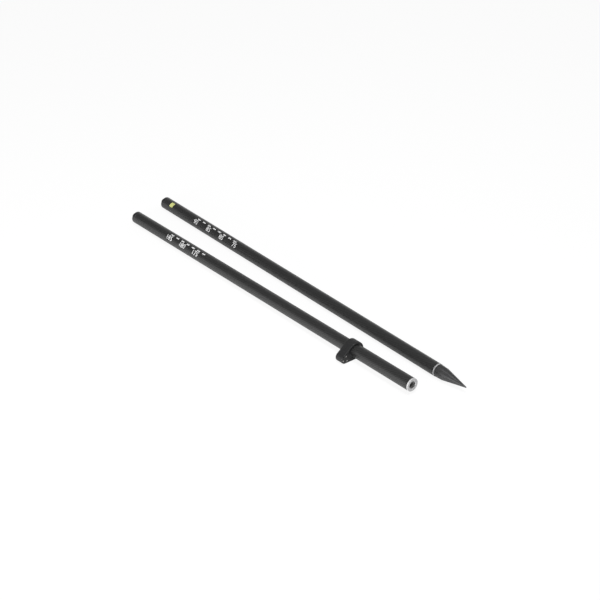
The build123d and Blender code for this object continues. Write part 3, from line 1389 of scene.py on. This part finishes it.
@dataclass
class LevelBracket:
    """Moulded bracket that carries the level, with its liner and screws.

    Attributes:
        collar: the axis of its collar, which is the tube's.
        ear: the axis of its ear, with depths toward the bottom of the pole.
        screws: a point on the axis of each adjusting screw, in metres.
        slot_turns: how far each screw's slot is turned, in degrees.
    """

    collar: Axis
    ear: Axis
    screws: list[Vector]
    mould_edge: float = 0.3
    liner_edge: float = 0.2
    lock_edge: float = 0.18
    screw_tip: float = 0.5
    screw_radius: float = 1.0
    screw_sides: int = 48
    head_seat: float = 8.8
    head_radius: float = 1.9
    head_face: float = 10.4
    head_edge: float = 0.35
    slot_length: float = 5.7
    slot_width: float = 0.5
    slot_depth: float = 0.7
    slot_turns: tuple[float, ...] = (12.0, -38.0, 71.0)

    def build(self) -> None:
        """Builds its pieces from the body to the screws."""
        self.moulding()
        self.liner()
        self.lock_screw()
        self.adjusting_screws()

    def moulding(self) -> None:
        """Builds the moulded body."""
        form = Form.softened(self.collar, "bracket_body", self.mould_edge)
        slot = Slot.BRACKET_PLASTIC
        form.settle("bracket_moulding", MOULDED_BLACK, "bracket", slot, "bracket_body")

    def liner(self) -> None:
        """Builds the split liner between collar and tube."""
        form = Form.softened(self.collar, "bracket_liner", self.liner_edge)
        form.settle("split_liner", NYLON, "bracket_liner", Slot.LINER_PLASTIC, "bracket_liner")

    def lock_screw(self) -> None:
        """Builds the set screw that holds the bracket in its place."""
        form = Form.softened(self.collar, "lock_screw", self.lock_edge)
        form.settle("set_screw", BRIGHT_STEEL, "lock_screw", Slot.SCREW_STEEL, "lock_screw")

    def slotted_screw(self) -> Recipe:
        """Builds the tree that slots a turned screw and puts it in its place.

        Returns:
            The tree, which takes the turned blank.
        """
        slot = ("Slot Length", "Slot Width", "Slot Depth")
        recipe = Recipe("slotted_screw", *slot, "Face", "Turn", "Right", "Up")
        given = recipe.given
        size = recipe.vector(given["Slot Length"], given["Slot Width"], given["Slot Depth"] * 2.0)
        cutter = recipe.wire("GeometryNodeMeshCube", size, 2, 2, 2)
        face = recipe.vector(0.0, 0.0, given["Face"])
        lifted = recipe.wire("GeometryNodeTransform", cutter, face)
        cut = recipe.add("GeometryNodeMeshBoolean", operation="DIFFERENCE", solver="EXACT")
        recipe.tree.links.new(given["Geometry"].socket, cut.inputs["Mesh 1"])
        recipe.tree.links.new(lifted.socket, cut.inputs["Mesh 2"])
        turn = recipe.vector(0.0, 0.0, given["Turn"])
        spot = recipe.vector(given["Up"], given["Right"], 0.0)
        slotted = Wire(recipe.tree, cut.outputs[0])
        return recipe.close(recipe.wire("GeometryNodeTransform", slotted, spot, turn))

    def adjusting_screws(self) -> None:
        """Builds the three screws that set the vial square to the pole."""
        outline = [
            (self.screw_tip, 0),
            (self.screw_tip, self.screw_radius),
            (self.head_seat, self.screw_radius),
            (self.head_seat, self.head_radius),
            (self.head_face, self.head_radius),
            (self.head_face, 0),
        ]
        recipe = self.slotted_screw()
        to_ear = self.ear.matrix().inverted()
        for number, (screw, turn) in enumerate(zip(self.screws, self.slot_turns), 1):
            blank = Form.turned(self.ear, outline, self.head_edge, self.screw_sides)
            spot = to_ear @ screw
            sizes = {
                "Slot Length": self.slot_length,
                "Slot Width": self.slot_width,
                "Slot Depth": self.slot_depth,
                "Face": self.head_face,
                "Turn": math.radians(turn),
                "Right": spot.y,
                "Up": spot.x,
                "Material": BRIGHT_STEEL.paint(self.ear),
            }
            form = Form(self.ear)
            form.take(recipe.run(blank.mesh("screw_blank"), sizes))
            body = f"adjusting_screw_{number}"
            form.settle(f"slotted_screw_{number}", BRIGHT_STEEL, body, Slot.SCREW_STEEL, body)


@dataclass
class CircularVial:
    """The level: glass, liquid, bubble, printed circle and the rings that hold them.

    Attributes:
        axis: its axis, with heights toward the top of the pole.
        collar: the axis of the bracket's collar, beside its own.
        shoulder: the height of the glass under the ring.
        window_top: the height of the raised window inside it.
        chamber_side: the height of the liquid's chamber at its wall.
        chamber_top: the height of the chamber in its middle.
        wetting: how far the liquid reaches into the glass.
        bubble_skin: the liquid that is left between the bubble and the glass.
    """

    axis: Axis
    collar: Axis
    cup_edge: float = 0.25
    cup_radius: float = 8.25
    cup_rim: float = 9.2
    glass_radius: float = 7.2
    glass_low: float = 0.25
    glass_edge: float = 0.2
    shoulder: float = 9.12
    window_radius: float = 6.1
    window_top: float = 9.9
    chamber_radius: float = 5.6
    chamber_side: float = 8.2
    chamber_top: float = 8.9
    floor: float = 0.2
    wetting: float = 0.02
    liquid_edge: float = 0.1
    dome_steps: int = 8
    ring_bore: float = 6.3
    ring_top: float = 10.2
    ring_bevel: float = 0.5
    ring_edge: float = 0.18
    ring_sides: int = 64
    circle_radius: float = 2.6
    circle_width: float = 0.34
    circle_ink: float = 0.03
    circle_edge: float = 0.01
    bubble_radius: float = 2.1
    bubble_offset: float = 4.3
    bubble_height: float = 7.6
    bubble_skin: float = 0.12
    bubble_faces: tuple[int, int] = (40, 24)
    bubble_crisp: float = 60.0
    cushion_bore: float = 2.4
    cushion_width: float = 2.3
    cushion_height: float = 2.2
    cushion_low: float = -5.6
    cushion_edge: float = 2.0
    cushion_steps: int = 8

    def build(self) -> None:
        """Builds its pieces from the cup to the cushion under it."""
        self.cup()
        self.clamp_ring()
        self.glass()
        self.spirit()
        self.bubble()
        self.target()
        self.cushion()

    def dome(self, radius: float) -> float:
        """Gives the height of the chamber's domed roof.

        Args:
            radius: the distance from the axis.

        Returns:
            The height there.
        """
        sag = self.chamber_top - self.chamber_side
        ball = (self.chamber_radius**2 + sag**2) / (2 * sag)
        return self.chamber_top - ball + math.sqrt(ball**2 - radius**2)

    def roof(self, lap: float) -> Outline:
        """Gives the outline of the roof, from the middle out to the wall.

        Args:
            lap: how far it reaches into the glass.

        Returns:
            Heights and radii.
        """
        reach = self.chamber_radius + lap
        radii = [reach * step / self.dome_steps for step in range(self.dome_steps + 1)]
        return [(self.dome(radius) + lap, radius) for radius in radii]

    def cup(self) -> None:
        """Builds the metal cup that the glass sits in."""
        form = Form.softened(self.collar, "vial_cup", self.cup_edge)
        slot = Slot.VIAL_ALLOY
        form.settle("vial_metal_cup", WHITE_LINED, "vial", slot, "vial_cup", pattern=self.axis)

    def glass(self) -> None:
        """Builds the clear body with its domed chamber and raised window."""
        outline = [
            *self.roof(0.0),
            (self.glass_low, self.chamber_radius),
            (self.glass_low, self.glass_radius),
            (self.shoulder, self.glass_radius),
            (self.shoulder, self.window_radius),
            (self.window_top, self.window_radius),
            (self.window_top, 0),
        ]
        form = Form.turned(self.axis, outline, self.glass_edge)
        form.settle("vial_window", ACRYLIC, "vial", Slot.VIAL_GLASS, "vial_glass")

    def spirit(self) -> None:
        """Builds the liquid, which wets the chamber's walls so that no film of air shows."""
        low = self.floor - self.wetting
        outline = [*self.roof(self.wetting), (low, self.chamber_radius + self.wetting), (low, 0)]
        form = Form.turned(self.axis, outline, self.liquid_edge)
        form.settle("vial_spirit", SPIRIT, "vial", Slot.VIAL_LIQUID, "vial_liquid")

    def bubble(self) -> None:
        """Builds the bubble, pressed against the wall and roof that it has floated to."""
        form = Form(self.axis)
        sides, rings = self.bubble_faces
        bmesh.ops.create_uvsphere(
            form.bm, u_segments=sides, v_segments=rings, radius=self.bubble_radius
        )
        wall = self.chamber_radius - self.bubble_skin
        for vertex in form.bm.verts:
            spot = vertex.co + Vector((self.bubble_offset, 0, self.bubble_height))
            radius = math.hypot(spot.x, spot.y)
            if radius > wall:
                spot.x, spot.y = spot.x * wall / radius, spot.y * wall / radius
            spot.z = min(spot.z, self.dome(min(radius, wall)) - self.bubble_skin)
            vertex.co = spot
        slot = Slot.VIAL_BUBBLE
        form.settle("vial_air_bubble", AIR, "vial", slot, "vial_bubble", crisp=self.bubble_crisp)

    def target(self) -> None:
        """Prints the circle that the bubble is brought into."""
        inner, outer = self.circle_radius, self.circle_radius + self.circle_width
        low, high = self.window_top, self.window_top + self.circle_ink
        outline = [(low, inner), (high, inner), (high, outer), (low, outer)]
        form = Form.turned(self.axis, outline, self.circle_edge, self.ring_sides, steps=1)
        form.settle("vial_target_circle", BLACK_INK, "vial", Slot.VIAL_ALLOY)

    def clamp_ring(self) -> None:
        """Builds the ring that holds the glass down."""
        outline = [
            (self.cup_rim, self.ring_bore),
            (self.cup_rim, self.cup_radius),
            (self.ring_top, self.cup_radius),
            (self.ring_top, self.ring_bore + self.ring_bevel),
            (self.ring_top - self.ring_bevel, self.ring_bore),
        ]
        form = Form.turned(self.axis, outline, self.ring_edge)
        form.settle("vial_clamp_ring", BLACK_ANODISED, "vial", Slot.VIAL_ALLOY, "vial_ring")

    def cushion(self) -> None:
        """Builds the round rubber ring that pushes the cup against its screws."""
        low, high = self.cushion_low, self.cushion_low + self.cushion_height
        inner, outer = self.cushion_bore, self.cushion_bore + self.cushion_width
        outline = [(low, inner), (low, outer), (high, outer), (high, inner)]
        edge, steps = self.cushion_edge, self.cushion_steps
        form = Form.turned(self.axis, outline, edge, self.ring_sides, steps)
        form.settle("vial_rubber_ring", RUBBER, "bracket", Slot.CUSHION_RUBBER, "vial_cushion")


@dataclass(frozen=True)
class Lamp:
    """A soft lamp that shines on the middle of the floor.

    Attributes:
        place: where it hangs, in metres.
        size: its width, in metres.
        power: its power, in watts.
    """

    place: tuple[float, float, float]
    size: float
    power: float


@dataclass
class Studio:
    """Floor, light and camera.

    Attributes:
        target: the point that the camera looks at, in metres.
        azimuth: how far the camera stands round from -Y toward +X, in degrees.
        elevation: how far it looks down, in degrees.
        distance: how far it is from its target, in metres.
        focal_pixels: its focal length, in pixels of the picture.
        image_pixels: the width of the picture.
        sensor: the width of the camera's sensor.
        floor_size: the side of the floor, in metres.
        floor_colour: the floor's own colour.
        floor_glow: how much of the floor's white is plain background.
        floor_shade: how much of it takes light and shadow.
        gloss_glow: the same share of glow in what gloss shows of the floor.
        gloss_shade: the share of light and shadow there, so that gloss is dark beside the object.
        sky: the strength of the soft light from all round.
        ceiling: the strength of what gloss and glass show of the room overhead.
        backdrop: the strength of the light from low down behind the object.
        backdrop_top: how far up that light reaches, as the height of its direction.
        backdrop_rise: how fast it comes up from the sides to the back.
        horizon: how far up the plain white of the background reaches, as a height likewise.
        lamps: the soft lamps.
    """

    target: tuple[float, float, float] = (0.05558, 0.01058, 0.01594)
    azimuth: float = 49.944
    elevation: float = 30.704
    distance: float = 3.23253
    focal_pixels: float = 1484.07
    image_pixels: int = 600
    sensor: float = 36.0
    floor_size: float = 60.0
    floor_colour: Colour = grey(0.94)
    floor_glow: float = 0.9
    floor_shade: float = 0.13
    gloss_glow: float = 0.2
    gloss_shade: float = 0.94
    sky: float = 0.24
    ceiling: float = 0.2
    backdrop: float = 0.95
    backdrop_top: float = 0.74
    backdrop_rise: float = 2.0
    horizon: float = 0.2
    lamps: tuple[Lamp, ...] = (
        Lamp((0.6, -0.3, 2.4), size=1.3, power=35.0),
        Lamp((0.4, -2.4, 0.45), size=0.8, power=32.0),
    )

    def build(self) -> None:
        """Sets up the room round the object."""
        self.floor()
        self.sky_light()
        self.lamp_light()
        self.camera()

    def camera(self) -> None:
        """Puts the camera at the photograph's angle."""
        turn, rise = math.radians(self.azimuth), math.radians(self.elevation)
        level = math.cos(rise)
        back = Vector((math.sin(turn) * level, -math.cos(turn) * level, math.sin(rise)))
        data = bpy.data.cameras.new("camera")
        data.sensor_width = self.sensor
        data.lens = self.sensor * self.focal_pixels / self.image_pixels
        eye = link("camera", data)
        eye.location = Vector(self.target) + back * self.distance
        eye.rotation_euler = (-back).to_track_quat("-Z", "Y").to_euler()
        bpy.context.scene.camera = eye

    def seen(self, graph: Graph, *kinds: Ray) -> Wire:
        """Gives 1 for rays of some kinds, else 0.

        Args:
            graph: the tree that asks.
            kinds: the kinds of ray that count.

        Returns:
            The answer.
        """
        path = graph.add("ShaderNodeLightPath")
        first, *others = (Wire(graph.tree, path.outputs[kind.value]) for kind in kinds)
        for other in others:
            first = first.math("MAXIMUM", other)
        return first

    def white(self, graph: Graph, glow: float, shade: float) -> Wire:
        """Makes a white that glows by itself and still takes a shadow.

        Args:
            graph: the floor's tree.
            glow: the strength of its own light.
            shade: how much of the light that falls on it comes back.

        Returns:
            The shader.
        """
        own = graph.wire("ShaderNodeEmission", WHITE, glow)
        lit = graph.wire("ShaderNodeBsdfDiffuse", (*grey(shade), 1.0))
        return graph.wire("ShaderNodeAddShader", own, lit)

    def floor(self) -> None:
        """Lays a pale floor that keeps a soft shadow."""
        half = self.floor_size / 2
        corners = [(-half, -half, 0), (half, -half, 0), (half, half, 0), (-half, half, 0)]
        mesh = bpy.data.meshes.new("floor")
        mesh.from_pydata(corners, [], [(0, 1, 2, 3)])
        material = bpy.data.materials.new("pale_floor")
        material.use_nodes = True
        graph = Graph(material.node_tree)
        graph.tree.nodes.clear()
        matt = graph.wire("ShaderNodeBsdfDiffuse", (*self.floor_colour, 1.0))
        plain = self.white(graph, self.floor_glow, self.floor_shade)
        mirrored = self.white(graph, self.gloss_glow, self.gloss_shade)
        around = graph.wire("ShaderNodeMixShader", self.seen(graph, Ray.GLOSSY), matt, mirrored)
        shown = self.seen(graph, Ray.CAMERA, Ray.TRANSMISSION)
        mixed = graph.wire("ShaderNodeMixShader", shown, around, plain)
        graph.add("ShaderNodeOutputMaterial", mixed)
        mesh.materials.append(material)
        link("floor", mesh)

    def sky_light(self) -> None:
        """Lights the object with a pale backdrop and a faint sky."""
        world = bpy.data.worlds.new("studio")
        world.use_nodes = True
        bpy.context.scene.world = world
        graph = Graph(world.node_tree)
        graph.tree.nodes.clear()
        _, behind, rise = graph.split(graph.wire("ShaderNodeTexCoord", out="Generated"))
        low = (rise / -self.backdrop_top + 1.0).math("MAXIMUM", 0.0)
        back = (behind * self.backdrop_rise).math("MINIMUM", 1.0).math("MAXIMUM", 0.0)
        share = low * back
        room = share.choose(self.backdrop, self.ceiling).math("MAXIMUM", rise < self.horizon)
        shown = self.seen(graph, *Ray)
        strength = shown.choose(room, share.choose(self.backdrop, self.sky))
        graph.add("ShaderNodeOutputWorld", graph.wire("ShaderNodeBackground", WHITE, strength))

    def lamp_light(self) -> None:
        """Hangs the soft lamps."""
        for number, lamp in enumerate(self.lamps, 1):
            data = bpy.data.lights.new(f"soft_lamp_{number}", "AREA")
            data.shape = "DISK"
            data.size = lamp.size
            data.energy = lamp.power
            hung = link(data.name, data)
            hung.location = lamp.place
            hung.rotation_euler = (-Vector(lamp.place)).to_track_quat("-Z", "Y").to_euler()


def section_axis(name: str, mount: dict[str, Any]) -> Axis:
    """Finds a section's axis from the stud on its top.

    Args:
        name: the section's name.
        mount: the stud's record, whose place is the middle of its free stretch.

    Returns:
        The axis, from the shoulder toward the bottom.
    """
    along = -Vector(mount["axis"])
    reach = mount["dims"]["length_mm"] / 2 + Section.relief_length
    return Axis.through(name, Vector(mount["pos_m"]) + along * reach * MM, along, UP)


def main() -> None:
    """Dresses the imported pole, piece by piece, and sets it in the studio."""
    logging.basicConfig(level=logging.INFO, format="%(name)s: %(message)s")
    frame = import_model()
    bpy.context.scene.view_settings.view_transform = "Standard"
    mounts = {mount["name"]: mount for mount in frame["record"]["mounts"]}
    hinges = [joint for joint in frame["joints"] if "pos_m" in joint]
    spots = {joint["name"]: Vector(joint["pos_m"]) for joint in hinges}

    thread = Thread()
    upper = Section(
        "upper", "antenna_stud", section_axis("upper", mounts["antenna_stud"]), thread,
        length=957.0, top=2000.0, scale=HeightScale(lowest=1710.0, highest=1850.0),
    )
    lower = Section(
        "lower", "section_stud", section_axis("lower", mounts["section_stud"]), thread,
        length=963.6, top=1043.0, scale=HeightScale(lowest=740.0, highest=900.0),
    )
    along = upper.axis.along
    hub = spots["bracket_swivel"]
    middle = spots["vial_tilt"] - along * VIAL_PIVOT * MM
    collar = Axis.through("collar", hub, along, hub - middle)
    ear = Axis.through("ear", middle, along, middle - hub)
    screws = [spots[f"adjusting_screw_{number}_turn"] for number in (1, 2, 3)]
    vial = CircularVial(Axis.through("vial", middle, -along, UP), collar)

    pole = (upper, lower, FilmPatch(lower), GroundPoint(lower))
    level = (LevelBracket(collar, ear, screws), vial)
    for assembly in (*pole, *level, Studio()):
        assembly.build()


if __name__ == "__main__":
    main()
